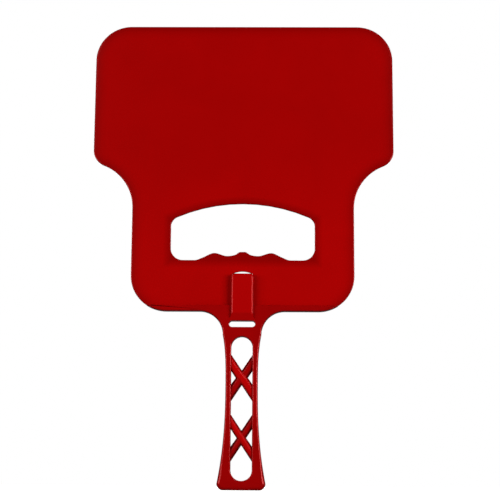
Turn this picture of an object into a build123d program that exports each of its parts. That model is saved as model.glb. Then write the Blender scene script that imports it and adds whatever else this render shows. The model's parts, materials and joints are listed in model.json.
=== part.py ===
"""Hand-held fan of red polypropylene: a broad blade that slides down into a lattice handle.

Two mouldings. The blade is a flat sheet with a four-finger hole above its lower edge. The handle
ends in a channel along that edge, a plate behind it and a springy tongue in front of it.

Lengths are millimetres. +X is to the right, +Z runs up the handle to the blade and the front, with
the tongue, faces -Y. Heights are drawn from the handle's end; place() then moves the origin to the
middle of the grip.
"""
from build123d import *
import os
from math import acos, asin, degrees

# Overall sizes
HANDLE_LENGTH = 122.4    # handle's end to the head's lower edge
HEAD_TALL = 207.6        # from there to the blade's top edge
BLADE_WIDTH = 213.5      # across the upper part of the blade
LOWER_WIDTH = 156.6      # across the lower part, beside the finger hole
GRIP_HEIGHT = 55.5       # from the handle's end to the middle of the grip, where the origin is

# Blade outline
UPPER_TALL = 92.3        # from the top edge down to where the straight upper side ends
TOP_CORNER_R = 25.4
LOWER_CORNER_R = 25.4
SHOULDER_OUTER_R = 12.0
SHOULDER_INNER_R = 33.0
BLADE_THICK = 2.2
BLADE_EDGE_R = 0.8

# Finger hole
HOLE_WIDTH = 101.0
HOLE_TALL = 40.3         # from the flats of its lower edge to the top of its arch
GRIP_BAR_TALL = 36.2     # from the head's lower edge to the flats
HOLE_TOP_R = 116.0       # radius of the arched top edge
HOLE_UPPER_CORNER_R = 7.0
HOLE_LOWER_CORNER_R = 8.5

# Scallops of its lower edge: distance from the middle and height over the flats
FLAT_END = (33.7, 0.0)
FLANK = (28.1, 1.9)
SIDE_BUMP = (20.6, 5.1)
GROOVE = (10.4, 3.0)
KNOB_FOOT = (5.2, 3.9)
KNOB = (1.6, 5.9)

# Latch window in the blade, behind the tongue's tip
WINDOW_WIDTH = 13.6
WINDOW_BELOW = 2.1       # from its floor down past the catch's lower face
WINDOW_ABOVE = 2.9       # from the tongue's tip up to the top of its arch
WINDOW_RISE = 2.0        # of the arch over its ends

# Handle frame
DEPTH = 7.0              # front to back
EDGE_R = 1.2             # rounding of its front and back edges
FOOT_WIDTH = 33.4
FOOT_CORNER_R = 4.4
WAIST_WIDTH = 22.3
WAIST_HEIGHT = 70.0
NECK_WIDTH = 26.9        # at the start of the flare
FLARE_R = 16.0
EYE_WIDTH = 14.6         # clear width between the rails
FOOT_WALL = 6.3          # under the lower eye
NECK_TALL = 17.7         # from the top of the upper eye to the head's lower edge
SLOT_WIDTH = 18.2        # hanging slot, end to end
SLOT_TALL = 4.4
SLOT_DROP = 8.9          # from the head's lower edge down to its middle

# Crossed braces: half height and half width of each crossing
UPPER_CROSS_DROP = 28.3  # from the top of the upper eye down to the crossing
UPPER_CROSS = (5.2, 4.3)
LOWER_CROSS_RISE = 29.0  # from the bottom of the lower eye up to the crossing
LOWER_CROSS = (5.1, 3.4)
BRACE_SLOPE = 1.5        # rise over run

# Channel and back plate
BAR_TALL = 4.1           # height of the channel bar over the head's lower edge
CHANNEL_WALL = 1.3       # under the blade's edge
SLIDE_GAP = 0.2          # running clearance of the blade on each side
BACK_PLATE_TALL = 19.5   # over the channel bar
BACK_PLATE_BASE = 46.0
BACK_PLATE_TIP = 30.0
BACK_PLATE_CORNER_R = 6.0

# Spring tongue
TONGUE_WIDTH = 15.3
TONGUE_THICK = 2.2
TONGUE_REACH = 26.1      # from the head's lower edge to its tip
TONGUE_CORNER_R = 2.0
TONGUE_EDGE_R = 0.7
TONGUE_GAP = 0.4         # between the tongue and the channel bar behind it
HINGE_DROP = 1.4         # from the head's lower edge down to where the tongue bends
HINGE_GAP = 0.15
NOSE_TALL = 3.0          # catch behind the tongue's tip
NOSE_WIDTH = 11.0
NOSE_GAP = 0.3           # left between the catch and the blade
ROOT_TALL = 4.9          # the ramp from the neck's face up to the hinge
ROOT_WIDTH = 19.0        # across the ramp's foot

# Heights over the handle's end, and distances in front of the middle, from the sizes above
HEAD_BASE = HANDLE_LENGTH
HEAD_TOP = HEAD_BASE + HEAD_TALL
BAR_TOP = HEAD_BASE + BAR_TALL
HOLE_FLOOR = HEAD_BASE + GRIP_BAR_TALL
HOLE_TOP = HOLE_FLOOR + HOLE_TALL
TONGUE_TIP = HEAD_BASE + TONGUE_REACH
HINGE_HEIGHT = HEAD_BASE - HINGE_DROP
EYE_R = EYE_WIDTH / 2
EYE_TOP = HEAD_BASE - NECK_TALL
RAIL_FOOT = FOOT_WALL + EYE_R
RAIL_TOP = EYE_TOP - EYE_R
BLADE_FRONT = -BLADE_THICK / 2
CHANNEL_FRONT = BLADE_FRONT - SLIDE_GAP
HANDLE_FRONT = -DEPTH / 2
TONGUE_BACK = HANDLE_FRONT - TONGUE_GAP
TONGUE_FRONT = TONGUE_BACK - TONGUE_THICK
TONGUE_MID = (TONGUE_BACK + TONGUE_FRONT) / 2
BEYOND = 1000.0          # reach of a cutting block that clears the whole object
NEAR = 0.001             # tolerance for picking edges and corners


def place(solid):
    """Moves a piece from heights over the handle's end to the origin at the grip."""
    return Pos(0, 0, -GRIP_HEIGHT) * solid


def mirrored_face(right_half):
    """A face from the edges of its right half, given as (x, height)."""
    edges = Curve() + right_half
    return make_face(edges + mirror(edges, Plane.YZ))


def slab(face, front, back):
    """Extrudes a face drawn as (x, height) from one y to another."""
    upright = Pos(0, front, 0) * (Plane.XZ * face)
    return extrude(upright, amount=back - front, dir=(0, 1, 0))


def block(x_low, x_high, z_low, z_high, y_low=-BEYOND, y_high=BEYOND):
    """A box from its limits."""
    size = (x_high - x_low, y_high - y_low, z_high - z_low)
    centre = ((x_high + x_low) / 2, (y_high + y_low) / 2, (z_high + z_low) / 2)
    return Pos(*centre) * Box(*size)


def long_edges(solid, front, back):
    """The edges that lie in a piece's front or back plane."""
    return solid.edges().filter_by(
        lambda edge: min(abs(edge.center().Y - front), abs(edge.center().Y - back)) < NEAR
    )


def head_outline():
    """The outline that the blade and the channel bar share."""
    upper = BLADE_WIDTH / 2
    lower = LOWER_WIDTH / 2
    turn = degrees(acos(1 - (upper - lower) / (SHOULDER_OUTER_R + SHOULDER_INNER_R)))
    top = Line((0, HEAD_TOP), (upper - TOP_CORNER_R, HEAD_TOP))
    top_corner = JernArc(top @ 1, top % 1, TOP_CORNER_R, -90)
    side = Line(top_corner @ 1, (upper, HEAD_TOP - UPPER_TALL))
    convex = JernArc(side @ 1, side % 1, SHOULDER_OUTER_R, -turn)
    concave = JernArc(convex @ 1, convex % 1, SHOULDER_INNER_R, turn)
    lower_side = Line(concave @ 1, (lower, HEAD_BASE + LOWER_CORNER_R))
    lower_corner = JernArc(lower_side @ 1, lower_side % 1, LOWER_CORNER_R, -90)
    base = Line(lower_corner @ 1, (0, HEAD_BASE))
    return mirrored_face(
        [top, top_corner, side, convex, concave, lower_side, lower_corner, base]
    )


def finger_edge():
    """The right half of the finger hole's lower edge, from its middle out to the flat."""
    wave = [KNOB, KNOB_FOOT, GROOVE, SIDE_BUMP, FLANK, FLAT_END]
    wave = [(x, HOLE_FLOOR + over_flat) for x, over_flat in wave]
    middle = Line((0, wave[0][1]), wave[0])
    return [middle, Spline(wave, tangents=((1, 0), (1, 0)))]


def finger_hole():
    """Arched at the top, with two finger grooves between two bumps and a knob below."""
    half = HOLE_WIDTH / 2
    edge = finger_edge()
    arch = JernArc((0, HOLE_TOP), (1, 0), HOLE_TOP_R, -degrees(asin(half / HOLE_TOP_R)))
    flat = Line(edge[-1] @ 1, (half, HOLE_FLOOR))
    side = Line(flat @ 1, arch @ 1)
    face = mirrored_face(edge + [flat, side, arch])
    for radius, pick in [
        (HOLE_LOWER_CORNER_R, slice(0, 2)),
        (HOLE_UPPER_CORNER_R, slice(-2, None)),
    ]:
        outer = face.vertices().filter_by(lambda v: abs(v.X) > half - NEAR)
        face = fillet(outer.sort_by(Axis.Y)[pick], radius)
    return face


def latch_window():
    """The opening in the blade behind the tongue's tip, with an arched top."""
    half = WINDOW_WIDTH / 2
    sill = TONGUE_TIP - NOSE_TALL - WINDOW_BELOW
    top = TONGUE_TIP + WINDOW_ABOVE
    floor = Line((-half, sill), (half, sill))
    side = Line(floor @ 1, (half, top - WINDOW_RISE))
    arch = ThreePointArc(side @ 1, (0, top), (-half, top - WINDOW_RISE))
    other_side = Line(arch @ 1, floor @ 0)
    return make_face([floor, side, arch, other_side])


def make_blade():
    """The flat sheet, from the channel's floor up, with the finger hole and the window."""
    sheet = slab(head_outline() - finger_hole(), BLADE_FRONT, -BLADE_FRONT)
    sheet = fillet(long_edges(sheet, BLADE_FRONT, -BLADE_FRONT), BLADE_EDGE_R)
    seat = HEAD_BASE + CHANNEL_WALL + SLIDE_GAP
    sheet -= block(-BEYOND, BEYOND, -BEYOND, seat)
    return sheet - slab(latch_window(), BLADE_FRONT, -BLADE_FRONT)


def handle_outline():
    """Foot, waist, neck and flare, closed along the head's lower edge."""
    foot = FOOT_WIDTH / 2
    waist = WAIST_WIDTH / 2
    neck = NECK_WIDTH / 2
    neck_height = HEAD_BASE - FLARE_R
    base = Line((0, 0), (foot - FOOT_CORNER_R, 0))
    corner = JernArc(base @ 1, base % 1, FOOT_CORNER_R, 90)
    taper = WAIST_HEIGHT - FOOT_CORNER_R
    side = Spline(
        corner @ 1,
        (waist + (foot - waist) * 0.5, FOOT_CORNER_R + taper / 4),
        (waist + (foot - waist) * 0.2, FOOT_CORNER_R + taper / 2),
        (waist, WAIST_HEIGHT),
        (waist + (neck - waist) * 0.07, (WAIST_HEIGHT + neck_height) / 2),
        (neck, neck_height),
        tangents=((-0.12, 1), (0.16, 1)),
    )
    flare = JernArc(side @ 1, (0, 1), FLARE_R, -90)
    top = Line(flare @ 1, (0, HEAD_BASE))
    return mirrored_face([base, corner, side, flare, top])


def handle_moulding():
    """The frame and the channel bar in one, before the frame is divided at its features."""
    lattice = Pos(0, (FOOT_WALL + EYE_TOP) / 2) * SlotOverall(
        EYE_TOP - FOOT_WALL, EYE_WIDTH, rotation=90
    )
    hang_slot = Pos(0, HEAD_BASE - SLOT_DROP) * SlotOverall(SLOT_WIDTH, SLOT_TALL)
    above_bar = Pos(0, BAR_TOP + BEYOND / 2) * Rectangle(BEYOND, BEYOND)
    face = (head_outline() - above_bar) + handle_outline() - lattice
    frame = slab(face, HANDLE_FRONT, -HANDLE_FRONT)
    rounded = long_edges(frame, HANDLE_FRONT, -HANDLE_FRONT).filter_by(
        lambda edge: edge.center().Z < BAR_TOP - NEAR
    )
    frame = fillet(rounded, EDGE_R)
    frame -= slab(hang_slot, HANDLE_FRONT, -HANDLE_FRONT)
    channel_floor = HEAD_BASE + CHANNEL_WALL
    return frame - block(
        -BEYOND, BEYOND, channel_floor, BEYOND, CHANNEL_FRONT, -CHANNEL_FRONT
    )


def brace(height, cross, side):
    """One diagonal bar. side is -1 for the front one, which falls to the right, and 1 for
    the rear one. It widens a little from the crossing out to the rails."""
    rise, reach = cross
    wall = EYE_R
    upper_half = [
        (-wall, height + rise + BRACE_SLOPE * wall),
        (0, height + rise),
        (reach, height),
        (wall, height - BRACE_SLOPE * (wall - reach)),
    ]
    lower_half = [(-x, 2 * height - z) for x, z in upper_half]
    outline = make_face(
        Polyline([(-side * x, z) for x, z in upper_half + lower_half], close=True)
    )
    face_y = side * (DEPTH / 2 - EDGE_R)
    return slab(outline, min(face_y, 0), max(face_y, 0))


def make_back_plate():
    """The plate that backs the blade, standing on the channel bar's rear lip."""
    top = BAR_TOP + BACK_PLATE_TALL
    outline = make_face(
        Polyline(
            (-BACK_PLATE_BASE / 2, BAR_TOP),
            (BACK_PLATE_BASE / 2, BAR_TOP),
            (BACK_PLATE_TIP / 2, top),
            (-BACK_PLATE_TIP / 2, top),
            close=True,
        )
    )
    upper = outline.vertices().filter_by(lambda v: v.Y > top - 1)
    outline = fillet(upper, BACK_PLATE_CORNER_R)
    return slab(outline, -CHANNEL_FRONT, -HANDLE_FRONT)


def make_tongue():
    """The free part of the spring tongue, with a catch behind its tip."""
    half = TONGUE_WIDTH / 2
    outline = make_face(
        Polyline(
            (-half, HINGE_HEIGHT),
            (half, HINGE_HEIGHT),
            (half, TONGUE_TIP),
            (-half, TONGUE_TIP),
            close=True,
        )
    )
    tip = outline.vertices().filter_by(lambda v: v.Y > TONGUE_TIP - 1)
    tongue = slab(fillet(tip, TONGUE_CORNER_R), TONGUE_FRONT, TONGUE_BACK)
    front = tongue.edges().filter_by(
        lambda e: abs(e.center().Y - TONGUE_FRONT) < NEAR and e.center().Z > HINGE_HEIGHT + 1
    )
    tongue = fillet(front, TONGUE_EDGE_R)
    rolled_end = Pos(0, TONGUE_MID, HINGE_HEIGHT) * Rot(0, 90, 0) * Cylinder(
        TONGUE_THICK / 2, TONGUE_WIDTH
    )
    nose = block(
        -NOSE_WIDTH / 2,
        NOSE_WIDTH / 2,
        TONGUE_TIP - NOSE_TALL,
        TONGUE_TIP,
        TONGUE_BACK,
        BLADE_FRONT - NOSE_GAP,
    )
    return tongue + rolled_end + nose


def make_root():
    """The ramp that lifts the tongue off the neck, hollowed where the tongue bends."""
    foot_height = HINGE_HEIGHT - ROOT_TALL
    plan = Polyline(
        (-ROOT_WIDTH / 2, foot_height),
        (ROOT_WIDTH / 2, foot_height),
        (TONGUE_WIDTH / 2, HINGE_HEIGHT),
        (-TONGUE_WIDTH / 2, HINGE_HEIGHT),
        close=True,
    )
    ramp = Polyline(
        (HANDLE_FRONT, foot_height),
        (TONGUE_FRONT, HINGE_HEIGHT - TONGUE_THICK),
        (TONGUE_FRONT, HINGE_HEIGHT),
        (HANDLE_FRONT, HINGE_HEIGHT),
        close=True,
    )
    wedge = slab(make_face(plan), TONGUE_FRONT, HANDLE_FRONT)
    ramp_side = extrude(Plane.YZ * make_face(ramp), amount=ROOT_WIDTH, both=True)
    seat = Pos(0, TONGUE_MID, HINGE_HEIGHT) * Rot(0, 90, 0) * Cylinder(
        TONGUE_THICK / 2 + HINGE_GAP, 2 * ROOT_WIDTH
    )
    return (wedge & ramp_side) - seat


def make_parts():
    """Every node by name."""
    handle = handle_moulding()
    rails = handle & block(-BEYOND, BEYOND, RAIL_FOOT, RAIL_TOP)
    upper = (EYE_TOP - UPPER_CROSS_DROP, UPPER_CROSS)
    lower = (FOOT_WALL + LOWER_CROSS_RISE, LOWER_CROSS)
    return {
        "blade": make_blade(),
        "handle_foot": handle & block(-BEYOND, BEYOND, -BEYOND, RAIL_FOOT),
        "left_rail": rails & block(-BEYOND, 0, -BEYOND, BEYOND),
        "right_rail": rails & block(0, BEYOND, -BEYOND, BEYOND),
        "neck": handle & block(-BEYOND, BEYOND, RAIL_TOP, HEAD_BASE),
        "channel_bar": handle & block(-BEYOND, BEYOND, HEAD_BASE, BEYOND),
        "upper_front_brace": brace(*upper, -1),
        "upper_rear_brace": brace(*upper, 1),
        "lower_front_brace": brace(*lower, -1),
        "lower_rear_brace": brace(*lower, 1),
        "back_plate": make_back_plate(),
        "tongue_root": make_root(),
        "spring_tongue": make_tongue(),
    }


os.makedirs("parts", exist_ok=True)
for name, solid in make_parts().items():
    export_step(place(solid), f"parts/{name}.step")
    print(name, round(solid.volume, 1), "mm3")
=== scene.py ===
# %% [markdown]
# # A red hand fan for the barbecue
# The fan is two injection mouldings of polypropylene: a flat blade with a finger hole, and a
# lattice handle that holds the blade's lower edge in a channel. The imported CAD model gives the
# frame: where each piece is and what moves. Here the two mouldings and the springy tongue are
# modelled again with the rounded edges, blended bars and soft rims that real mouldings have.

# %% Load the frame
import json
import math

import bmesh
import bpy
from mathutils import Matrix, Vector


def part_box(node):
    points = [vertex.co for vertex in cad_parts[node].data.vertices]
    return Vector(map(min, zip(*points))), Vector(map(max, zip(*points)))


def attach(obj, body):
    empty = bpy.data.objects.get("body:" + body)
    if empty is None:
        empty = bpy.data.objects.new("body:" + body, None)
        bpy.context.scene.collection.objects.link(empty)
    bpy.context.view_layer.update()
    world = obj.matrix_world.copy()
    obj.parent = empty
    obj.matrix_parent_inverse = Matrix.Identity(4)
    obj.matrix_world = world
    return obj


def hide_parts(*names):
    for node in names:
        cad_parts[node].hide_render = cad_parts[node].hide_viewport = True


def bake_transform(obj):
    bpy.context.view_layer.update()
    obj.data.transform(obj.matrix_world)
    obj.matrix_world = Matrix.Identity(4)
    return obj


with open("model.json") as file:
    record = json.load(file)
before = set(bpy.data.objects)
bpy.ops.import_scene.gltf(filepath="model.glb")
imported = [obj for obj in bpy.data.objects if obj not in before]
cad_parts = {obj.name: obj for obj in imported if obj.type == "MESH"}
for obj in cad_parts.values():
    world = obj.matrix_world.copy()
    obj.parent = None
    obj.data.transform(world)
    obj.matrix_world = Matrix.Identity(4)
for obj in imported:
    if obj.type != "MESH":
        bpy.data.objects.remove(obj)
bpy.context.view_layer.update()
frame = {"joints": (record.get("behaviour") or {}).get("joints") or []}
MM = 0.001  # in metres, which are the frame's unit

# %% [markdown]
# ## Places
# Every place comes from the CAD nodes' own boxes, so nothing has to be fitted afterwards. The
# object stands upright: X to the right, Z up the handle, and the front faces -Y. Blender's
# tools that cut and merge are tuned for things a metre large, so the pieces are modelled in
# millimetres, a thousand times too large, and shrunk to metres when they are done.

# %% Read the places that the pieces share
def corners(node):
    """The lowest and highest corner of a CAD node, in millimetres."""
    return [Vector(corner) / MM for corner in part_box(node)]


foot_low, foot_high = corners("handle_foot")
bar_low, bar_high = corners("channel_bar")
blade_low, blade_high = corners("blade")
plate_low, plate_high = corners("back_plate")
root_low, root_high = corners("tongue_root")
tongue_low, tongue_high = corners("spring_tongue")
handle_end = foot_low.z
head_base = bar_low.z
bar_top = bar_high.z
head_top = blade_high.z
flex = next(joint for joint in frame["joints"] if joint["name"] == "tongue_flex")
hinge = Vector(flex["pos_m"]) / MM
print("handle, mm:", round(head_base - handle_end, 1))
print("head, mm:", round(head_top - head_base, 1))

# %% [markdown]
# ## Selecting and drawing
# An operator acts on whatever is selected, so two small helpers make one piece the only one that
# is worked on, and a third selects its vertices, edges or faces by a test.
#
# An outline is drawn as with a pen in edit mode: one vertex is extruded for each straight run
# and spun round a centre for each corner. A square corner could also be bevelled afterwards, but
# the spin gives true arcs that join without a kink, which a bevelled corner only comes near to.

# %% Work on one piece at a time
SAME = 0.002   # mm; closer than this, two points are one
FACING = 0.9   # a normal that goes this far along an axis faces that way


def only(piece):
    """Leaves edit mode, deselects everything and makes one piece the active one."""
    if bpy.context.object and bpy.context.object.mode == "EDIT":
        bpy.ops.object.mode_set(mode="OBJECT")
    bpy.ops.object.select_all(action="DESELECT")
    piece.select_set(True)
    bpy.context.view_layer.objects.active = piece
    return piece


def edit(piece):
    """Makes a piece the active one and opens it in edit mode."""
    only(piece)
    bpy.ops.object.mode_set(mode="EDIT")
    return piece


def pick(piece, kind, wanted):
    """In edit mode, selects the vertices, edges or faces that wanted() accepts."""
    bpy.ops.mesh.select_mode(type=kind)
    bpy.ops.mesh.select_all(action="DESELECT")
    mesh = bmesh.from_edit_mesh(piece.data)
    parts = {"VERT": mesh.verts, "EDGE": mesh.edges, "FACE": mesh.faces}[kind]
    chosen = [part for part in parts if wanted(part)]
    for part in chosen:
        part.select_set(True)
    mesh.select_flush_mode()
    bmesh.update_edit_mesh(piece.data)
    return len(chosen)


def middle(edge):
    """The middle of an edge."""
    return (edge.verts[0].co + edge.verts[1].co) / 2


# %% A pen for outlines in the upright plane
ARC_STEP = 5.0  # degrees of turn per edge of an arc


class Pen:
    """Draws an outline in the XZ plane by extruding and spinning its last vertex."""

    def __init__(self, name, x, z, heading, y=0.0):
        bpy.ops.object.select_all(action="DESELECT")
        bpy.ops.mesh.primitive_plane_add(size=1, location=(x, y, z))
        self.piece = bpy.context.object
        self.piece.name = name
        bpy.ops.object.transform_apply(location=True, rotation=True, scale=True)
        edit(self.piece)
        bpy.ops.mesh.select_mode(type="VERT")
        bpy.ops.mesh.select_all(action="SELECT")
        bpy.ops.mesh.merge(type="CENTER")
        self.at = Vector((x, y, z))
        self.heading = Vector((heading[0], 0, heading[1])).normalized()

    def to(self, x, z):
        """A straight run to a point."""
        step = Vector((x, self.at.y, z)) - self.at
        bpy.ops.mesh.extrude_vertices_move(TRANSFORM_OT_translate={"value": step})
        self.at = self.at + step
        self.heading = step.normalized()

    def line(self, length):
        """A straight run ahead."""
        end = self.at + self.heading * length
        self.to(end.x, end.z)

    def arc(self, radius, turn):
        """A tangent arc. A positive turn, in degrees, bends to the left."""
        left = Vector((-self.heading.z, 0, self.heading.x))
        centre = self.at + left * math.copysign(radius, turn)
        steps = max(2, round(abs(turn) / ARC_STEP))
        angle = math.radians(turn)
        bpy.ops.mesh.spin(steps=steps, angle=angle, center=centre, axis=(0, 1, 0))
        turned = Matrix.Rotation(-angle, 3, "Y")
        self.at = centre + turned @ (self.at - centre)
        self.heading = turned @ self.heading

    def through(self, points, ends, steps=6):
        """A smooth run through points, with a given slope (run, rise) at its two ends."""
        places = [(self.at.x, self.at.z)] + list(points)
        knots = [Vector(place) for place in places]
        chords = [(b - a).length for a, b in zip(knots, knots[1:])]
        slopes = [Vector(ends[0]).normalized()]
        for i in range(1, len(knots) - 1):
            before, after = chords[i - 1], chords[i]
            left = (knots[i] - knots[i - 1]) / before
            right = (knots[i + 1] - knots[i]) / after
            slopes.append((left * after + right * before) / (before + after))
        slopes.append(Vector(ends[1]).normalized())
        for i, chord in enumerate(chords):
            for step in range(1, steps + 1):
                t = step / steps
                start = knots[i] * (2 * t**3 - 3 * t**2 + 1) + knots[i + 1] * (3 * t**2 - 2 * t**3)
                pull = slopes[i] * (t**3 - 2 * t**2 + t) + slopes[i + 1] * (t**3 - t**2)
                place = start + pull * chord
                self.to(place.x, place.y)
        self.heading = Vector((ends[1][0], 0, ends[1][1])).normalized()

    def mirrored(self):
        """Closes the outline with its mirror image across X = 0, and leaves edit mode."""
        only(self.piece)
        mirror = self.piece.modifiers.new("other half", "MIRROR")
        mirror.merge_threshold = SAME
        bpy.ops.object.modifier_apply(modifier=mirror.name)
        return self.piece


# %% Fill an outline
def fill(piece):
    """Fills a closed outline with one flat face that looks to the front."""
    edit(piece)
    bpy.ops.mesh.select_mode(type="EDGE")
    bpy.ops.mesh.select_all(action="SELECT")
    bpy.ops.mesh.remove_doubles(threshold=SAME)
    bpy.ops.mesh.select_all(action="SELECT")
    bpy.ops.mesh.edge_face_add()
    bpy.ops.mesh.select_all(action="SELECT")
    mesh = bmesh.from_edit_mesh(piece.data)
    mesh.normal_update()
    if any(face.normal.y > 0 for face in mesh.faces):
        bpy.ops.mesh.flip_normals()
    return piece


# %% [markdown]
# ## The blade
# The blade is a sheet about 2 mm thick. Its outline is drawn once down the right side: a wide
# top corner, the side, an S-shaped shoulder of two tangent arcs, and the lower corner. A sheet
# that is only extruded and bevelled would look stamped. So the flat face gets its rim by insets,
# each a little further in and a little further forward, and the sheet ends in a rounded edge and
# swells very slightly towards the middle. Mirrored front to back, that is a closed sheet without
# a seam on its flats.

# %% Sizes of the blade
BLADE_CORNER_R = 25.4
SIDE_TALL = 92.3  # from the top edge down to the shoulder
SHOULDER_OUTER_R = 12.0
SHOULDER_INNER_R = 33.0
LOWER_HALF = 78.3
# How far in from the outline, and how far forward of the middle, in mm
RIM = [
    (0.00, 0.25), (0.06, 0.48), (0.20, 0.66), (0.42, 0.79), (0.70, 0.86),
    (1.80, 0.93), (3.60, 1.01), (6.00, 1.07), (9.00, 1.10),
]


# %% Draw the head's outline
def draw_blade():
    """The blade's outline, filled with one large flat face."""
    upper_half = blade_high.x
    swing = upper_half - LOWER_HALF
    turn = math.degrees(math.acos(1 - swing / (SHOULDER_OUTER_R + SHOULDER_INNER_R)))
    pen = Pen("fan_blade", 0, head_top, (1, 0))
    pen.line(upper_half - BLADE_CORNER_R)
    pen.arc(BLADE_CORNER_R, -90)
    pen.line(SIDE_TALL - BLADE_CORNER_R)
    pen.arc(SHOULDER_OUTER_R, -turn)
    pen.arc(SHOULDER_INNER_R, turn)
    pen.line(pen.at.z - head_base - BLADE_CORNER_R)
    pen.arc(BLADE_CORNER_R, -90)
    pen.line(pen.at.x)
    return fill(pen.mirrored())


# %% Build up the rim
def crown(section):
    """In edit mode, insets the selected face ring by ring: how far in, and how far out."""
    for (was_in, was_out), (now_in, now_out) in zip(section, section[1:]):
        bpy.ops.mesh.inset(thickness=now_in - was_in, depth=now_out - was_out)


def swell(piece, section):
    """Extrudes the flat face forward, then crowns it along a section."""
    edit(piece)
    bpy.ops.mesh.select_all(action="SELECT")
    forward = (0, -section[0][1], 0)
    bpy.ops.mesh.extrude_region_move(TRANSFORM_OT_translate={"value": forward})
    crown(section)
    return piece


def raise_rim(blade):
    """Gives the blade its rim, then its back half as a mirror image of the front."""
    swell(blade, RIM)
    pick(blade, "FACE", lambda face: all(abs(v.co.y) < SAME for v in face.verts))
    bpy.ops.mesh.delete(type="ONLY_FACE")
    only(blade)
    mirror = blade.modifiers.new("back half", "MIRROR")
    mirror.use_axis = (False, True, False)
    mirror.merge_threshold = SAME
    bpy.ops.object.modifier_apply(modifier=mirror.name)
    edit(blade)
    bpy.ops.mesh.select_all(action="SELECT")
    bpy.ops.mesh.normals_make_consistent(inside=False)
    bpy.ops.mesh.bisect(
        plane_co=(0, 0, blade_low.z), plane_no=(0, 0, 1), use_fill=True, clear_inner=True
    )
    return only(blade)


def halve(piece):
    """Cuts right through at X = 0, so that no flat face has to go round an opening."""
    edit(piece)
    bpy.ops.mesh.select_all(action="SELECT")
    bpy.ops.mesh.bisect(plane_co=(0, 0, 0), plane_no=(1, 0, 0))
    return only(piece)


blade = halve(raise_rim(draw_blade()))
print("blade, mm:", [round(side, 1) for side in blade.dimensions])

# %% [markdown]
# ### The finger hole and the window
# Four fingers go through the hole and lie in the places between the bumps of its lower edge. Its
# top is a shallow arch that runs into the sides through small arcs. A small window behind the
# tongue's tip has a lower arch of its own. Each is drawn as its own outline, made a solid and cut
# out of the sheet, and then only its two rims are rounded, because the hand closes round them. A
# bevel on the cutter instead would leave the rims sharp.

# %% Sizes of the hole and the window
hole_floor = head_base + 36.2
hole_top = hole_floor + 40.3
HOLE_HALF = 50.5
HOLE_ARCH_R = 116.0
HOLE_UPPER_R = 7.0
HOLE_LOWER_R = 8.5
HOLE_ROUNDING = 0.75
FLAT_END = 33.7
# The finger places, from the flat's end to the middle: across and over the flat, in mm
FINGER_PLACES = [(28.1, 1.9), (20.6, 5.1), (10.6, 2.95), (5.2, 3.9), (1.6, 5.9)]
window_sill = tongue_high.z - 5.1
window_spring = tongue_high.z + 0.35  # where the window's arch starts
WINDOW_HALF = 7.0
WINDOW_RISE = 1.75                    # of the arch
WINDOW_ROUNDING = 0.3
over_window = tongue_high.z + 4.0     # a height between the window and the hole
ROOM = 1.0                            # round an opening, for picking its rims
REACH = 12.0                          # how far a cutter stands out of what it cuts


# %% Make solids, and cut or join them
def thicken(piece, depth):
    """Extrudes the flat face backwards, towards +Y, to a closed solid."""
    edit(piece)
    bpy.ops.mesh.select_all(action="SELECT")
    bpy.ops.mesh.extrude_region_move(TRANSFORM_OT_translate={"value": (0, depth, 0)})
    bpy.ops.mesh.select_all(action="SELECT")
    bpy.ops.mesh.normals_make_consistent(inside=False)
    return only(piece)


def split_flats(piece):
    """Divides each face of many corners into triangles, which cut and join more reliably."""
    edit(piece)
    pick(piece, "FACE", lambda face: len(face.verts) > 4)
    bpy.ops.mesh.quads_convert_to_tris(ngon_method="BEAUTY")
    return only(piece)


def combine(piece, tool, operation):
    """Cuts the tool out of the piece, or joins the two into one closed skin."""
    split_flats(tool)
    split_flats(piece)
    boolean = piece.modifiers.new(operation.lower(), "BOOLEAN")
    boolean.operation = operation
    boolean.solver = "EXACT"
    boolean.object = tool
    bpy.ops.object.modifier_apply(modifier=boolean.name)
    bpy.data.objects.remove(tool)
    return piece


# %% Draw the hole and the window
def finger_hole():
    """A solid with the shape of the finger hole."""
    to_corner = HOLE_HALF - HOLE_UPPER_R
    lean = math.degrees(math.asin(to_corner / (HOLE_ARCH_R - HOLE_UPPER_R)))
    pen = Pen("finger_hole", 0, hole_top, (1, 0), y=-REACH)
    pen.arc(HOLE_ARCH_R, -lean)
    pen.arc(HOLE_UPPER_R, lean - 90)
    pen.line(pen.at.z - hole_floor - HOLE_LOWER_R)
    pen.arc(HOLE_LOWER_R, -90)
    pen.line(pen.at.x - FLAT_END)
    wave = [(x, hole_floor + over) for x, over in FINGER_PLACES]
    pen.through(wave, ends=((-1, 0), (-1, 0)))
    pen.to(0, pen.at.z)
    return thicken(fill(pen.mirrored()), 2 * REACH)


def latch_window():
    """A solid with the shape of the small window behind the tongue's tip."""
    radius = (WINDOW_HALF**2 + WINDOW_RISE**2) / (2 * WINDOW_RISE)
    slope = math.asin(WINDOW_HALF / radius)
    pen = Pen("latch_window", 0, window_sill, (1, 0), y=-REACH)
    pen.line(WINDOW_HALF)
    pen.to(WINDOW_HALF, window_spring)
    pen.heading = Vector((-math.cos(slope), 0, math.sin(slope)))
    pen.arc(radius, math.degrees(slope))
    return thicken(fill(pen.mirrored()), 2 * REACH)


# %% Cut both out, and round their rims
def is_rim(edge):
    """True where a flat that looks to the front or back meets a side wall."""
    facing = sorted(abs(face.normal.y) for face in edge.link_faces)
    return len(facing) == 2 and facing[0] < 1 - FACING and facing[1] > FACING


def is_cut_rim(edge):
    """True on the sharp rims that the cuts leave in the blade's two flats."""
    place = middle(edge)
    return is_rim(edge) and abs(place.x) < HOLE_HALF + ROOM and place.z > bar_top + ROOM


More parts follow.
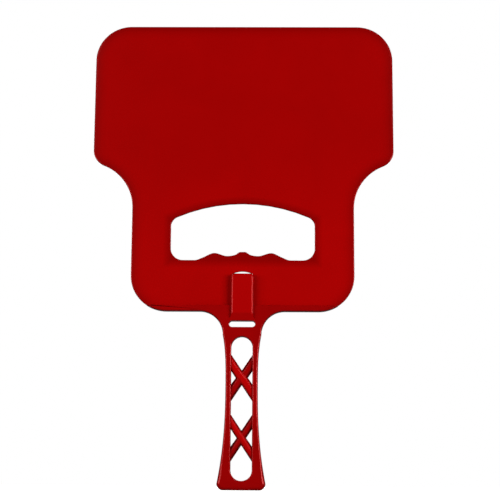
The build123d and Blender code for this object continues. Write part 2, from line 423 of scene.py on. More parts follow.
combine(blade, finger_hole(), "DIFFERENCE")
combine(blade, latch_window(), "DIFFERENCE")
edit(blade)
hole_rims = pick(blade, "EDGE", lambda e: is_cut_rim(e) and middle(e).z > over_window)
bpy.ops.mesh.bevel(offset=HOLE_ROUNDING, segments=4, profile=0.5, loop_slide=False)
window_rims = pick(blade, "EDGE", lambda e: is_cut_rim(e) and middle(e).z < over_window)
bpy.ops.mesh.bevel(offset=WINDOW_ROUNDING, segments=2, profile=0.5, loop_slide=False)
print("rims rounded:", hole_rims, "round the hole and", window_rims, "round the window")

# %% [markdown]
# ### Smooth skin
# A moulding's rounded edges shine smoothly and its flats stay flat. Smooth shading alone would
# bend the light across the large flats, so a weighted normal modifier lets the big faces decide
# and leaves the bending to the small ones on the rims.

# %% Finish a piece
SMOOTH_BELOW = 35.0  # degrees between two faces that are shaded as one


def finish_surface(piece):
    """Shades the skin smooth across soft edges, keeps the flats flat, and shrinks to metres."""
    edit(piece)
    bpy.ops.mesh.select_all(action="SELECT")
    bpy.ops.mesh.remove_doubles(threshold=SAME / 10)
    only(piece)
    bpy.ops.object.shade_smooth_by_angle(angle=math.radians(SMOOTH_BELOW))
    weighted = piece.modifiers.new("flat faces stay flat", "WEIGHTED_NORMAL")
    weighted.keep_sharp = True
    bpy.ops.object.modifier_apply(modifier=weighted.name)
    piece.scale = (MM, MM, MM)
    bpy.ops.object.transform_apply(location=True, rotation=True, scale=True)
    mesh = bmesh.new()
    mesh.from_mesh(piece.data)
    loose = sum(not edge.is_manifold for edge in mesh.edges)
    volume = mesh.calc_volume(signed=True) / MM**3
    mesh.free()
    print(piece.name, len(piece.data.polygons), "faces,", round(volume), "mm3,", loose, "open edges")
    return piece


finish_surface(blade)

# %% [markdown]
# ## The handle
# The handle is one moulding: a frame with a long opening, two pairs of crossed bars in it, a
# hanging slot, and a strip with a channel that takes the blade's lower edge. It could be put
# together from bars and blocks, but then every joint would show. It is built as a toolmaker
# would cut it: the flat outline first, then its depth, then the rounding of each rim, generous
# at the foot where the palm is and small along the strip.

# %% Sizes of the handle
front = bar_low.y
frame_thick = bar_high.y - bar_low.y
waist = handle_end + 70.0
WAIST_HALF = 11.15
NECK_HALF = 13.45
FLARE_R = 16.0
FOOT_CORNER_R = 4.4
FOOT_FLARE, FOOT_STEPS = 2.4, 16  # how late the side flares below the waist, and in how many runs
NECK_FLARE, NECK_STEPS = 3.2, 10  # and above the waist
eye_low = handle_end + 6.3
eye_high = handle_end + 104.7
EYE_HALF = 7.3
slot_middle = head_base - 8.9
SLOT_HALF = 9.1
SLOT_R = 2.2


# %% Draw the frame
def side_of_handle(pen):
    """The side from the foot's corner in to the waist and out to the neck."""
    foot = pen.at.copy()
    neck = head_base - FLARE_R
    for i in range(1, FOOT_STEPS + 1):
        z = foot.z + (waist - foot.z) * i / FOOT_STEPS
        share = (waist - z) / (waist - foot.z)
        pen.to(WAIST_HALF + (foot.x - WAIST_HALF) * share**FOOT_FLARE, z)
    for i in range(1, NECK_STEPS + 1):
        z = waist + (neck - waist) * i / NECK_STEPS
        share = (z - waist) / (neck - waist)
        pen.to(WAIST_HALF + (NECK_HALF - WAIST_HALF) * share**NECK_FLARE, z)


def draw_frame():
    """The handle's outline and the strip along the head's lower edge."""
    pen = Pen("fan_handle", 0, handle_end, (1, 0), y=front)
    pen.line(foot_high.x - FOOT_CORNER_R)
    pen.arc(FOOT_CORNER_R, 90)
    side_of_handle(pen)
    pen.heading = Vector((0, 0, 1))
    pen.arc(FLARE_R, -90)
    pen.line(LOWER_HALF - BLADE_CORNER_R - pen.at.x)
    climb = math.degrees(math.acos(1 - (bar_top - head_base) / BLADE_CORNER_R))
    pen.arc(BLADE_CORNER_R, climb)
    pen.to(0, bar_top)
    return pen.mirrored()


# %% Cut the long opening and the slot
def eye():
    """A solid with the shape of the long opening between the rails."""
    pen = Pen("eye", 0, eye_low, (1, 0), y=-REACH)
    pen.arc(EYE_HALF, 90)
    pen.line(eye_high - eye_low - 2 * EYE_HALF)
    pen.arc(EYE_HALF, 90)
    return thicken(fill(pen.mirrored()), 2 * REACH)


def hanging_slot():
    """A solid with the shape of the slot in the neck."""
    pen = Pen("slot", 0, slot_middle - SLOT_R, (1, 0), y=-REACH)
    pen.line(SLOT_HALF - SLOT_R)
    pen.arc(SLOT_R, 180)
    pen.to(0, slot_middle + SLOT_R)
    return thicken(fill(pen.mirrored()), 2 * REACH)


handle = halve(thicken(fill(draw_frame()), frame_thick))
combine(handle, eye(), "DIFFERENCE")
combine(handle, hanging_slot(), "DIFFERENCE")
print("frame, mm:", [round(side, 1) for side in handle.dimensions])

# %% [markdown]
# ### Rounded rims
# Each rim of the frame has its own rounding. One bevel modifier does them all: it reads a weight
# from every edge, so the wide rounding of the foot runs out evenly along the rails. The cuts
# leave the flats in triangles, and a bevel would follow those, so they are joined first.

# %% Round the rims
FOOT_ROUNDING = 2.5
RAIL_ROUNDING = 1.25
EYE_ROUNDING = 0.9
STRIP_ROUNDING = 0.5
FOOT_TALL = 26.0                 # over which the foot's rounding runs out
FOOT_HOLD, FOOT_FADE = 1.6, 1.5  # how long it keeps its full width, and how softly it ends
LEVEL = 0.999                    # a normal that goes this far along Y belongs to a flat
BANDS = 13                       # that the flats are divided into, up the handle


def join_flats(piece):
    """Joins the triangles of the front and back flats again, up to the cut at X = 0."""
    edit(piece)
    pick(piece, "EDGE", lambda edge: abs(middle(edge).x) > SAME and len(edge.link_faces) == 2
         and all(abs(face.normal.y) > LEVEL for face in edge.link_faces))
    bpy.ops.mesh.dissolve_edges(use_verts=False)
    return only(piece)


def rim_width(place):
    """How far the rounding reaches in from each rim of the frame, in mm."""
    in_slot = abs(place.z - slot_middle) < SLOT_R + SAME and abs(place.x) < SLOT_HALF + SAME
    if in_slot or place.z > bar_top - SAME:
        return STRIP_ROUNDING
    in_eye = abs(place.x) < EYE_HALF + SAME and place.z > eye_low - SAME
    if in_eye:
        return EYE_ROUNDING
    near_foot = max(0, 1 - (place.z - handle_end) / FOOT_TALL)
    share = min(1, FOOT_HOLD * near_foot**FOOT_FADE)
    return RAIL_ROUNDING + (FOOT_ROUNDING - RAIL_ROUNDING) * share


def weigh_rims(piece):
    """Marks each rim with its share of the widest rounding."""
    edit(piece)
    mesh = bmesh.from_edit_mesh(piece.data)
    layer = mesh.edges.layers.float.get("bevel_weight_edge")
    layer = layer or mesh.edges.layers.float.new("bevel_weight_edge")
    for edge in mesh.edges:
        edge[layer] = rim_width(middle(edge)) / FOOT_ROUNDING if is_rim(edge) else 0
    bmesh.update_edit_mesh(piece.data)
    return only(piece)


def round_rims(piece):
    """Rounds the front and back rims of a slab, each as wide as its weight says."""
    weigh_rims(join_flats(piece))
    bevel = piece.modifiers.new("rounded rims", "BEVEL")
    bevel.limit_method = "WEIGHT"
    bevel.width = FOOT_ROUNDING
    bevel.segments = 4
    bevel.loop_slide = False
    bevel.use_clamp_overlap = False
    bpy.ops.object.modifier_apply(modifier=bevel.name)
    return piece


def cut_across(piece, heights):
    """Cuts right through at each height, which leaves bands that are easy to work on."""
    edit(piece)
    for z in heights:
        bpy.ops.mesh.select_all(action="SELECT")
        bpy.ops.mesh.bisect(plane_co=(0, 0, z), plane_no=(0, 0, 1))
    return only(piece)


round_rims(handle)
cut_across(handle, [handle_end + (bar_top - handle_end) * i / BANDS for i in range(1, BANDS)])
print("handle with its rims:", len(handle.data.polygons), "faces")

# %% [markdown]
# ### Crossed bars
# Each pair of bars stiffens the frame like the web of a truss. They cross one in front of the
# other and are moulded into each other where they touch. Plain square bars would look sawn. A
# bar is crowned like the blade's rim, ring by ring, high at the front and lower at the back,
# which leaves a lit ridge down its middle and shaded flanks. Its twin is the same bar turned
# round, so it shows its lower crown to the front.

# %% Model one bar, turn a copy to the back, and set the pairs in the frame
BAR_SLOPE = 1.5
IN_RAIL = 2.6  # how far a bar's end is let into the rail
# How far in from the bar's outline, and how far forward or back of the pair's middle, in mm
BAR_SECTION = [(0.0, 0.7), (0.25, 1.1), (0.65, 1.5), (1.15, 1.83), (1.8, 2.11), (2.5, 2.3)]
BAR_BACK = [(0.0, 0.0), (0.25, 0.5), (0.65, 0.95), (1.15, 1.3), (1.8, 1.6), (2.5, 1.75)]
HAIR = (0.02, 0, 0.03)  # moves the twin a hair, so that no two edges coincide


def brace(name, node, rise, reach):
    """A pair of crossed bars. The front one falls to the right, and its upper edge passes rise
    over the crossing's middle and reach to the right of it."""
    low, high = corners(node)
    height = (low.z + high.z) / 2
    end = EYE_HALF + IN_RAIL
    half_outline = [
        (-end, height + rise + BAR_SLOPE * end),
        (0, height + rise),
        (reach, height),
        (end, height - BAR_SLOPE * (end - reach)),
    ]
    pen = Pen(name, *half_outline[0], (1, 0))
    for x, z in half_outline[1:]:
        pen.to(x, z)
    for x, z in half_outline:
        pen.to(-x, 2 * height - z)
    edit(pen.piece)
    bpy.ops.mesh.select_all(action="SELECT")
    bpy.ops.mesh.remove_doubles(threshold=SAME)
    bar = swell(fill(pen.piece), BAR_SECTION)
    bpy.ops.mesh.select_all(action="SELECT")
    bpy.ops.mesh.normals_make_consistent(inside=False)
    pick(bar, "FACE", lambda face: face.normal.y > FACING)
    crown(BAR_BACK)
    only(bar)
    print(name, "front at", round(min(v.co.y for v in bar.data.vertices), 2), "of", low.y)
    bpy.ops.object.duplicate()
    twin = bpy.context.object
    twin.rotation_euler = (0, 0, math.pi)
    twin.location = HAIR
    bpy.ops.object.transform_apply(location=True, rotation=True, scale=True)
    return combine(bar, twin, "UNION")


upper_pair = brace("upper_brace", "upper_front_brace", rise=5.2, reach=4.3)
lower_pair = brace("lower_brace", "lower_front_brace", rise=5.1, reach=3.4)
only(upper_pair)
lower_pair.select_set(True)
bpy.ops.object.join()
combine(handle, upper_pair, "UNION")
print("handle with its bars:", len(handle.data.polygons), "faces")

# %% [markdown]
# ### Channel and back plate
# The blade's edge sits in a channel cut down the middle of the strip, with 0.2 mm to spare on
# each side. Behind it a short plate rises from the strip and backs the blade, opposite the
# tongue. The channel is cut with a plain block. The plate is a face of its own outline, made
# thick, rounded on its back and joined on, because its sloping sides and round corners are
# easier to draw than to cut.

# %% Cut the channel
channel_half = plate_low.y
channel_floor = head_base + 1.3


def block(name, low, high):
    """A box between two corners."""
    bpy.ops.object.select_all(action="DESELECT")
    centre = (Vector(low) + Vector(high)) / 2
    bpy.ops.mesh.primitive_cube_add(size=1, location=centre)
    piece = bpy.context.object
    piece.name = name
    piece.scale = Vector(high) - Vector(low)
    bpy.ops.object.transform_apply(location=True, rotation=True, scale=True)
    return piece


channel = block(
    "channel",
    (-blade_high.x, -channel_half, channel_floor),
    (blade_high.x, channel_half, head_top),
)
combine(handle, channel, "DIFFERENCE")
print("channel, mm:", round(2 * channel_half, 2), "wide and", round(bar_top - channel_floor, 2), "deep")

# %% Add the plate
PLATE_TIP_HALF = 15.0
PLATE_CORNER_R = 6.0
PLATE_ROUNDING = 0.9
PLATE_LET_IN = 0.6  # how far down into the strip the plate goes
STEP_BACK = 0.03    # behind the strip's own faces, so that none of them coincide


def back_plate():
    """The plate behind the blade: straight sloping sides and two round corners."""
    let_in = bar_top - PLATE_LET_IN
    slope = (plate_high.x - PLATE_TIP_HALF) / (plate_high.z - bar_top)
    tilt = math.atan(slope)
    tangent = PLATE_CORNER_R * math.tan((math.pi / 2 - tilt) / 2)
    side = math.hypot(plate_high.z - let_in, slope * (plate_high.z - let_in)) - tangent
    pen = Pen("back_plate", 0, let_in, (1, 0), y=channel_half + STEP_BACK)
    pen.line(plate_high.x)
    pen.heading = Vector((-math.sin(tilt), 0, math.cos(tilt)))
    pen.line(side)
    pen.arc(PLATE_CORNER_R, 90 - math.degrees(tilt))
    pen.to(0, plate_high.z)
    plate = thicken(fill(pen.mirrored()), plate_high.y - channel_half - 2 * STEP_BACK)
    edit(plate)
    pick(plate, "EDGE", lambda e: all(
        abs(v.co.y - plate_high.y + STEP_BACK) < SAME for v in e.verts
    ) and middle(e).z > let_in + SAME)
    bpy.ops.mesh.bevel(offset=PLATE_ROUNDING, segments=4, profile=0.5, loop_slide=False)
    return only(plate)


combine(handle, back_plate(), "UNION")
finish_surface(handle)

# %% [markdown]
# ## The spring tongue
# The tongue is part of the handle's moulding and bends where it leaves the neck, so it is one
# piece from the foot of its ramp to its tip. It starts as a block, grows a ramp at its lower end
# by two extrusions, and gets a catch behind its tip. A rigid tongue that turns as a whole would
# open a gap at its root. Several cuts across the bending zone leave edges there along which it
# could curve.

# %% Sizes of the tongue
TONGUE_THICK = 2.2
TONGUE_ROUNDING = 1.3
TIP_CORNER_R = 2.0
IN_NECK = 0.15     # how far the ramp's back is let into the neck
TOE_STEP = 0.02    # by which the ramp's toe stands out of the neck
NOSE_HALF = 5.5
NOSE_LET_IN = 0.4  # how far the catch is let into the tongue
NOSE_ROUNDING = 0.35
BEND_CUTS = (-2.1, -1.4, -0.7, 0, 0.7, 1.4, 2.1, 3.0)  # mm over the hinge
tongue_back = tongue_low.y + TONGUE_THICK
ramp_top = hinge.z - TONGUE_THICK
ramp_back = front + IN_NECK
nose_low = tongue_high.z - 3.0
nose_high = tongue_high.z - 0.25


# %% Model the ramp
def at_level(z):
    """A test for vertices at one height."""
    return lambda vert: abs(vert.co.z - z) < SAME


def extrude_down(tongue, low, high):
    """Extrudes the lower end from one height down to another."""
    pick(tongue, "FACE", lambda face: face.normal.z < -FACING)
    drop = (0, 0, low - high)
    bpy.ops.mesh.extrude_region_move(TRANSFORM_OT_translate={"value": drop})


def ramp(tongue):
    """Two extrusions down from the block's lower end: the thick root and the ramp."""
    slope = (front - tongue_low.y) / (hinge.z - root_low.z)
    extrude_down(tongue, ramp_top, hinge.z)
    pick(tongue, "VERT", lambda v: at_level(ramp_top)(v) and v.co.y > tongue_back - SAME)
    bpy.ops.transform.translate(value=(0, ramp_back - tongue_back, 0))
    pick(tongue, "VERT", lambda v: at_level(ramp_top)(v) and v.co.y < tongue_low.y + SAME)
    bpy.ops.transform.translate(value=(0, slope * (hinge.z - ramp_top), 0))
    extrude_down(tongue, root_low.z, ramp_top)
    pick(tongue, "VERT", lambda v: at_level(root_low.z)(v) and v.co.y < ramp_back - SAME)
    bpy.ops.transform.translate(value=(0, slope * (ramp_top - root_low.z) - TOE_STEP, 0))
    pick(tongue, "VERT", at_level(root_low.z))
    spread = root_high.x / tongue_high.x
    bpy.ops.transform.resize(value=(spread, 1, 1), center_override=(0, 0, 0))


# %% Model the tongue and its catch
def is_tip_corner(edge):
    """True on the two upright corners of the tip."""
    place = middle(edge)
    at_side = abs(abs(place.x) - tongue_high.x) < SAME
    return at_side and abs(place.z - tongue_high.z) < SAME


def is_front_rim(edge):
    """True along the tongue's front, up both sides and over the tip."""
    if any(abs(v.co.y - tongue_low.y) > SAME for v in edge.verts):
        return False
    turns = any(face.normal.y > -FACING for face in edge.link_faces)
    return turns and middle(edge).z > hinge.z + SAME


def spring_tongue():
    """The tongue with its ramp and its rounded front."""
    low = (-tongue_high.x, tongue_low.y, hinge.z)
    high = (tongue_high.x, tongue_back, tongue_high.z)
    tongue = edit(block("spring_tongue_moulding", low, high))
    ramp(tongue)
    pick(tongue, "EDGE", is_tip_corner)
    bpy.ops.mesh.bevel(offset=TIP_CORNER_R, segments=6, profile=0.5)
    pick(tongue, "EDGE", is_front_rim)
    bpy.ops.mesh.bevel(offset=TONGUE_ROUNDING, segments=5, profile=0.5, loop_slide=False)
    return only(tongue)


def catch():
    """The catch behind the tongue's tip."""
    low = (-NOSE_HALF, tongue_back - NOSE_LET_IN, nose_low)
    high = (NOSE_HALF, tongue_high.y, nose_high)
    nose = edit(block("nose", low, high))
    pick(nose, "EDGE", lambda e: abs(middle(e).y - tongue_high.y) < SAME)
    bpy.ops.mesh.bevel(offset=NOSE_ROUNDING, segments=3, profile=0.5)
    return only(nose)


tongue = spring_tongue()
combine(tongue, catch(), "UNION")
cut_across(tongue, [hinge.z + over for over in BEND_CUTS])
finish_surface(tongue)

# %% [markdown]
# ## Materials
# Both mouldings are polypropylene, coloured right through with a red masterbatch and moulded
# against a polished steel tool. That gives a clear but not mirror-like gloss, a very fine orange
# peel, faint cloudy streaks where the pigment flowed, and light scuffs from use. The gloss of so
# deep a red isn't pure white, so it is tinted a pale red. There are three finishes: the blade's,
# with painted shade towards its top and along its rims, the handle's, whose thin bars carry a
# painted highlight on their ridges and painted shade on their flanks, and the tongue's.
# Patterns follow Object coordinates, because a moulding has no grain that turns with its surface.

# %% Colour and node helpers
def linear(hex_colour):
    """An sRGB hex colour as the linear RGBA that the shader takes."""
    values = [int(hex_colour[i:i + 2], 16) / 255 for i in (1, 3, 5)]
    bent = [v / 12.92 if v <= 0.04045 else ((v + 0.055) / 1.055) ** 2.4 for v in values]
    return (*bent, 1.0)


def add(tree, kind, sources=(), **settings):
    """Adds a node and sets its properties. Each source is linked to its input if it is a node
    or a socket, and is the input's own value if it is anything else."""
    node = tree.nodes.new(kind)
    for name, value in settings.items():
        setattr(node, name, value)
    for socket, source in dict(sources).items():
        if isinstance(source, bpy.types.Node):
            source = source.outputs[0]
        if isinstance(source, bpy.types.NodeSocket):
            tree.links.new(source, node.inputs[socket])
        else:
            node.inputs[socket].default_value = source
    return node


# %% Moulded polypropylene
POLYPROPYLENE_IOR = 1.49
GLOSS = 0.2               # roughness of the polished skin
SCUFF_GLOSS = 0.22        # and of a scuff
CLOUD_SIZE = 38 * MM      # pigment clouds along the flow
CLOUD_RANGE = 0.35, 0.65  # between which nearly all of the noise lies
CLOUD_DEPTH = 0.12        # share of the deeper red in a cloud
CLOUD_SWELL = 0.25 * MM   # how far the skin bulges over a cloud
PEEL_SIZE = 0.9 * MM      # orange peel of the tool's polish
PEEL_HEIGHT = 0.03 * MM
SCUFF_WIDTH = 0.7 * MM    # drawn coarser than real scuffs, so that they show
SCUFF_LENGTH = 26 * MM
SCUFF_LEAN = 24.0         # degrees
SCUFF_RANGE = 0.58, 0.75  # the noise's peaks, which alone are scuffs


def moulded_polypropylene(name, colour, deep_colour, shift, painted_light=None):
    """Glossy red polypropylene. shift moves the patterns, so that no two pieces match, and
    deepen(tree, place) gives the painted light and shade: how deep the red is painted from
    place to place, from 0 to 1."""
    material = bpy.data.materials.new(name)
    material.use_nodes = True
    tree = material.node_tree
    tree.nodes.clear()
    place = add(tree, "ShaderNodeTexCoord").outputs["Object"]
    moved = add(tree, "ShaderNodeMapping", {"Vector": place, "Location": shift})
    cloud = add(tree, "ShaderNodeTexNoise", {
        "Vector": moved, "Scale": 1 / CLOUD_SIZE, "Detail": 3.0, "Roughness": 0.55,
        "Distortion": 0.6,
    })
    red = add(tree, "ShaderNodeMapRange", {
        "Value": cloud, "From Min": CLOUD_RANGE[0], "From Max": CLOUD_RANGE[1],
        "To Max": CLOUD_DEPTH,
    })
    # Painted light and shade, where they are given, are added to the pigment clouds.
    if painted_light:
        red = add(tree, "ShaderNodeMath", {0: red, 1: painted_light(tree, place)}, use_clamp=True)
    colours = add(tree, "ShaderNodeMix", {
        "Factor": red, 6: linear(colour), 7: linear(deep_colour),
    }, data_type="RGBA")
    along = add(tree, "ShaderNodeMapping", {
        "Vector": moved, "Rotation": (0, math.radians(SCUFF_LEAN), 0),
        "Scale": (1 / SCUFF_WIDTH, 1 / SCUFF_WIDTH, 1 / SCUFF_LENGTH),
    })
    scuff = add(tree, "ShaderNodeTexNoise", {"Vector": along, "Scale": 1.0, "Detail": 2.0})
    scuffed = add(tree, "ShaderNodeMapRange", {
        "Value": scuff, "From Min": SCUFF_RANGE[0], "From Max": SCUFF_RANGE[1],
        "To Min": GLOSS, "To Max": SCUFF_GLOSS,
    })
    peel = add(tree, "ShaderNodeTexNoise", {
        "Vector": moved, "Scale": 1 / PEEL_SIZE, "Detail": 1.0,
    })
    waves = add(tree, "ShaderNodeBump", {
        "Height": cloud, "Strength": 0.25, "Distance": CLOUD_SWELL,
    })
    skin = add(tree, "ShaderNodeBump", {
        "Height": peel, "Strength": 0.2, "Distance": PEEL_HEIGHT, "Normal": waves,
    })
    shader = add(tree, "ShaderNodeBsdfPrincipled", {
        "Base Color": colours.outputs[2], "Roughness": scuffed, "Normal": skin,
        "IOR": POLYPROPYLENE_IOR, "Specular Tint": linear("#FF7070"),
    })
    add(tree, "ShaderNodeOutputMaterial", {"Surface": shader})
    print("material", name, "from", colour, "to", deep_colour)
    return material


# %% [markdown]
# ### Painted light and shade
# On the blade the red is painted a little deeper towards the top, far from the handle's end, as
# painted shade, and deepest along the rims, as painted shade where the rounded edges turn from
# the light. The outer rim is known by how far the crowned sheet has thinned there, and the rim of
# the hole by its distance from the hole's sides, floor and arch. On the handle the bars' ridges
# are lightest, a painted highlight, the thick frame has its own deeper red, and the bars' flanks,
# known by how far they have fallen back from the ridge, are deepest, as painted shade. That rule
# goes by the distance from the handle's middle plane alone, so its painted shade also darkens the
# middle of the frame's side walls. The depth could be painted by hand as an attribute, but a few
# sums on the place follow every size that changes.

# %% Painted shade on the blade's red
# Painted shade on the blade: darker towards its top, and darker still along its rims.
TOP_SHADE = 0.36
RIM_SHADE = 0.9
RIM_FADE = 5.5                # mm from the hole's rim to the full colour
full_shade_height = hole_top + 40.0  # where the blade is as deep as it gets


def hole_rim_shade(tree, place, across, up):
    """Painted shade: deeper towards the rim of the hole."""
    from_side = add(tree, "ShaderNodeMath", {
        0: across, 1: HOLE_HALF * MM,
    }, operation="SUBTRACT")
    from_floor = add(tree, "ShaderNodeMath", {
        0: hole_floor * MM, 1: up,
    }, operation="SUBTRACT")
    arch = add(tree, "ShaderNodeVectorMath", {
        0: place, 1: (0, 0, (hole_top - HOLE_ARCH_R) * MM),
    }, operation="DISTANCE")
    from_arch = add(tree, "ShaderNodeMath", {
        0: arch.outputs["Value"], 1: HOLE_ARCH_R * MM,
    }, operation="SUBTRACT")
    sides = add(tree, "ShaderNodeMath", {0: from_side, 1: from_floor}, operation="MAXIMUM")
    from_hole = add(tree, "ShaderNodeMath", {0: sides, 1: from_arch}, operation="MAXIMUM")
    return add(tree, "ShaderNodeMapRange", {
        "Value": from_hole, "From Min": RIM_FADE * MM, "From Max": 0.0, "To Max": RIM_SHADE,
    })


def blade_painted_shade(tree, place):
    """Painted shade: deeper up the blade, and along its outer rim and the rim of the hole."""
    axes = add(tree, "ShaderNodeSeparateXYZ", {0: place}).outputs
    # Painted shade: the red deepens from the hole's floor up towards the top.
    far = add(tree, "ShaderNodeMapRange", {
        "Value": axes["Z"], "From Min": hole_floor * MM, "From Max": full_shade_height * MM,
        "To Max": TOP_SHADE,
    })
    across = add(tree, "ShaderNodeMath", {0: axes["X"]}, operation="ABSOLUTE")
    forward = add(tree, "ShaderNodeMath", {0: axes["Y"]}, operation="ABSOLUTE")
    # Painted shade along the outer rim, where the crowned sheet thins and its edge turns from the
    # light.
    outer = add(tree, "ShaderNodeMapRange", {
        "Value": forward, "From Min": RIM[-1][1] * MM, "From Max": RIM[4][1] * MM,
        "To Max": RIM_SHADE,
    })
    inner = hole_rim_shade(tree, place, across, axes["Z"])
    rims = add(tree, "ShaderNodeMath", {0: outer, 1: inner}, operation="MAXIMUM")
    return add(tree, "ShaderNodeMath", {0: far, 1: rims}, operation="ADD")


# The deep red 8A0101 is both the pigment clouds' deeper red and the painted shade's colour.
blade_finish = moulded_polypropylene(
    "blade_polypropylene", "#AA0202", "#8A0101", (0, 0, 0), blade_painted_shade,
)

# %% Painted highlight and shade on the handle's red
# The frame's own red is its share of the deep colour; the bars' ridges keep the lighter colour as a
# painted highlight, and their flanks take painted shade.
FRAME_DEPTH = 0.42
FLANK_SHADE = 1.0
ridge, shoulder, edge = BAR_SECTION[-1][1], BAR_SECTION[-2][1], BAR_SECTION[1][1]
frame_front = frame_thick / 2 - 0.3  # a little under the frame's face
rail_start = EYE_HALF - 0.6          # where a bar runs into its rail
rail_end = EYE_HALF - 0.1


def handle_painted_light(tree, place):
    """A painted highlight on the bars' ridges, the frame's own deeper red round them, and painted
    shade down their flanks and along the middle of the frame's side walls."""
    axes = add(tree, "ShaderNodeSeparateXYZ", {0: place}).outputs
    across = add(tree, "ShaderNodeMath", {0: axes["X"]}, operation="ABSOLUTE")
    forward = add(tree, "ShaderNodeMath", {0: axes["Y"]}, operation="ABSOLUTE")
    in_front = add(tree, "ShaderNodeMapRange", {
        "Value": forward, "From Min": (ridge + 0.1) * MM, "From Max": frame_front * MM,
        "To Max": FRAME_DEPTH,
    })
    beside = add(tree, "ShaderNodeMapRange", {
        "Value": across, "From Min": rail_start * MM, "From Max": rail_end * MM,
        "To Max": FRAME_DEPTH,
    })
    # Painted shade down the bars' flanks, which also falls down the middle of the frame's side walls.
    flank = add(tree, "ShaderNodeMapRange", {
        "Value": forward, "From Min": shoulder * MM, "From Max": edge * MM,
        "To Max": FLANK_SHADE,
    })
    frame_red = add(tree, "ShaderNodeMath", {0: in_front, 1: beside}, operation="MAXIMUM")
    return add(tree, "ShaderNodeMath", {0: flank, 1: frame_red}, operation="MAXIMUM")


# BC0304 is the painted highlight on the bars' ridges, and 5A0101 the painted shade on their flanks.
handle_finish = moulded_polypropylene(
    "handle_polypropylene", "#BC0304", "#5A0101", (0.3, 0.1, 0.2), handle_painted_light,
)

# %% The tongue's finish, and which piece gets which
tongue_finish = moulded_polypropylene(
    "tongue_polypropylene", "#AC0203", "#920101", (0.1, 0.2, 0.3),
)
for piece, finish in ((blade, blade_finish), (handle, handle_finish), (tongue, tongue_finish)):
    piece.data.materials.clear()
    piece.data.materials.append(finish)
    print(piece.name, "is", finish.name)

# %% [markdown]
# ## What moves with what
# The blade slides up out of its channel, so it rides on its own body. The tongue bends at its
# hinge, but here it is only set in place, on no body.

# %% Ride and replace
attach(blade, "blade")
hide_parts("blade")
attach(handle, "handle")
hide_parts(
    "handle_foot", "left_rail", "right_rail", "neck", "channel_bar", "back_plate",
    "upper_front_brace", "upper_rear_brace", "lower_front_brace", "lower_rear_brace",
)
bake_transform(tongue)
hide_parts("spring_tongue", "tongue_root")

# %% [markdown]
# ## Studio
# A product photographer would stand the fan on a white sweep and light it from both sides with
# large soft boxes, keeping the room behind the camera dark. The flat blade then shows its full
# red, and only the rounded edges that turn to a soft box catch a highlight. Two small boxes stand
# higher and give the crossed bars the glint on their ridges, and two behind light the back. A
# bright room would be simpler, but it would lay a grey veil over the whole blade.

# %% Floor
FLOOR_SIZE = 12.0              # m
NEAR_FAN, OFF_FAN = 0.25, 0.9  # m from the fan: between these the floor's own light grows
GLOW_AT_FAN = 0.6              # so that the fan's foot still has a faint shadow round it


def white_floor():
    """A pale matt floor under the handle's end."""
    bpy.ops.object.select_all(action="DESELECT")
    bpy.ops.mesh.primitive_plane_add(size=FLOOR_SIZE, location=(0, 0, handle_end * MM))
    floor = bpy.context.object
    floor.name = "floor"
    material = bpy.data.materials.new("white_sweep")
    material.use_nodes = True
    tree = material.node_tree
    tree.nodes.clear()
    place = add(tree, "ShaderNodeTexCoord").outputs["Object"]
    away = add(tree, "ShaderNodeVectorMath", {0: place}, operation="LENGTH")
    glow = add(tree, "ShaderNodeMapRange", {
        "Value": away.outputs["Value"], "From Min": NEAR_FAN, "From Max": OFF_FAN,
        "To Min": GLOW_AT_FAN, "To Max": 1.0,
    })
    paper = add(tree, "ShaderNodeBsdfPrincipled", {
        "Base Color": linear("#F4F4F4"), "Roughness": 0.9, "Specular IOR Level": 0.1,
        "Emission Color": linear("#FFFFFF"), "Emission Strength": glow,
    })
    dim = add(tree, "ShaderNodeBsdfDiffuse", {"Color": linear("#5A5A5A")})
    seen = add(tree, "ShaderNodeLightPath").outputs["Is Camera Ray"]
    both = add(tree, "ShaderNodeMixShader", {0: seen, 1: dim, 2: paper})
    add(tree, "ShaderNodeOutputMaterial", {"Surface": both})
    floor.data.materials.append(material)
    return floor


floor = white_floor()
print("floor at", round(floor.location.z / MM, 1), "mm")


# %% Surroundings
def surroundings():
    """White where the camera looks past the object, and a dim room for everything else."""
    world = bpy.data.worlds.new("studio")
    world.use_nodes = True
    tree = world.node_tree
    tree.nodes.clear()
    seen = add(tree, "ShaderNodeLightPath").outputs["Is Camera Ray"]
    shade = add(tree, "ShaderNodeMix", {
        "Factor": seen, 6: linear("#202020"), 7: linear("#FFFFFF"),
    }, data_type="RGBA")
    light = add(tree, "ShaderNodeBackground", {"Color": shade.outputs[2], "Strength": 1.0})
    add(tree, "ShaderNodeOutputWorld", {"Surface": light})
    bpy.context.scene.world = world
    return world


world = surroundings()
print("world:", world.name)

# %% Soft boxes
aim = (blade_low + blade_high) / 2 * MM
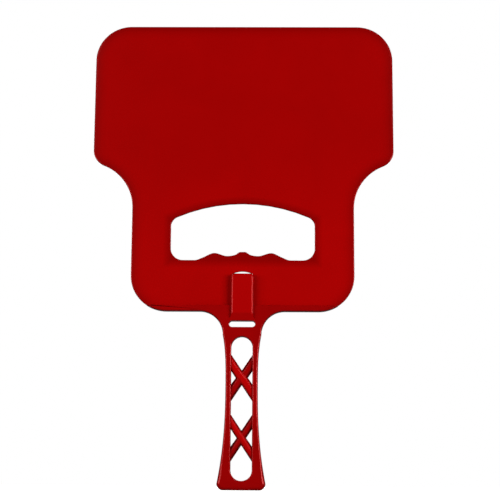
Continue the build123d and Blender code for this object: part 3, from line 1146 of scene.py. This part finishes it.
# Azimuth and elevation in degrees, then distance, width and height in m, and power in W
SOFT_BOXES = {
    "left_box": (-46, 2, 1.5, 1.1, 0.4, 12.5),
    "right_box": (46, 2, 1.5, 0.8, 0.4, 16.5),
    "high_left_box": (-30, 24, 1.5, 0.3, 0.3, 1.8),
    "high_right_box": (30, 24, 1.5, 0.3, 0.3, 1.8),
    "back_left_box": (-152, 20, 1.7, 0.8, 1.2, 18),
    "back_right_box": (152, 20, 1.7, 0.8, 1.2, 18),
}


def soft_box(name, azimuth, elevation, distance, width, height, power):
    """A rectangular light that looks at the blade. Azimuth 0 is straight in front."""
    bpy.ops.object.select_all(action="DESELECT")
    turn, lift = math.radians(azimuth), math.radians(elevation)
    away = Vector((
        math.sin(turn) * math.cos(lift), -math.cos(turn) * math.cos(lift), math.sin(lift)
    ))
    bpy.ops.object.light_add(type="AREA", location=aim + away * distance)
    lamp = bpy.context.object
    lamp.name = name
    lamp.rotation_euler = away.to_track_quat("Z", "Y").to_euler()
    lamp.data.shape = "RECTANGLE"
    lamp.data.size = width
    lamp.data.size_y = height
    lamp.data.energy = power
    lamp.visible_camera = False
    return lamp


for name, place_and_size in SOFT_BOXES.items():
    lamp = soft_box(name, *place_and_size)
    print(lamp.name, lamp.data.energy, "W")

# %% [markdown]
# ## Camera
# The camera stands almost on the floor, a long lens' distance in front of the fan, and looks up
# at it a little, so the handle comes nearer than the blade.

# %% Place the camera
LENS = 93.6              # mm, on a 36 mm sensor
CAMERA_PLACE = Vector((17.98, -897.97, -52.15)) * MM
LOOK_AT = Vector((5.12, 0, 110.5)) * MM
ROLL = 0.38              # degrees


def place_camera():
    """A level camera that looks at the fan, then rolled a hair."""
    bpy.ops.object.select_all(action="DESELECT")
    bpy.ops.object.camera_add(location=CAMERA_PLACE)
    camera = bpy.context.object
    look = (LOOK_AT - CAMERA_PLACE).to_track_quat("-Z", "Y").to_matrix()
    camera.rotation_euler = (look @ Matrix.Rotation(math.radians(ROLL), 3, "Z")).to_euler()
    camera.data.lens = LENS
    camera.data.sensor_width = 36.0
    camera.data.clip_start = 0.01
    camera.data.clip_end = 100.0
    bpy.context.scene.camera = camera
    return camera


camera = place_camera()
bpy.context.scene.view_settings.view_transform = "Standard"
print("camera:", camera.data.lens, "mm lens,", round((LOOK_AT - CAMERA_PLACE).length, 2), "m away")
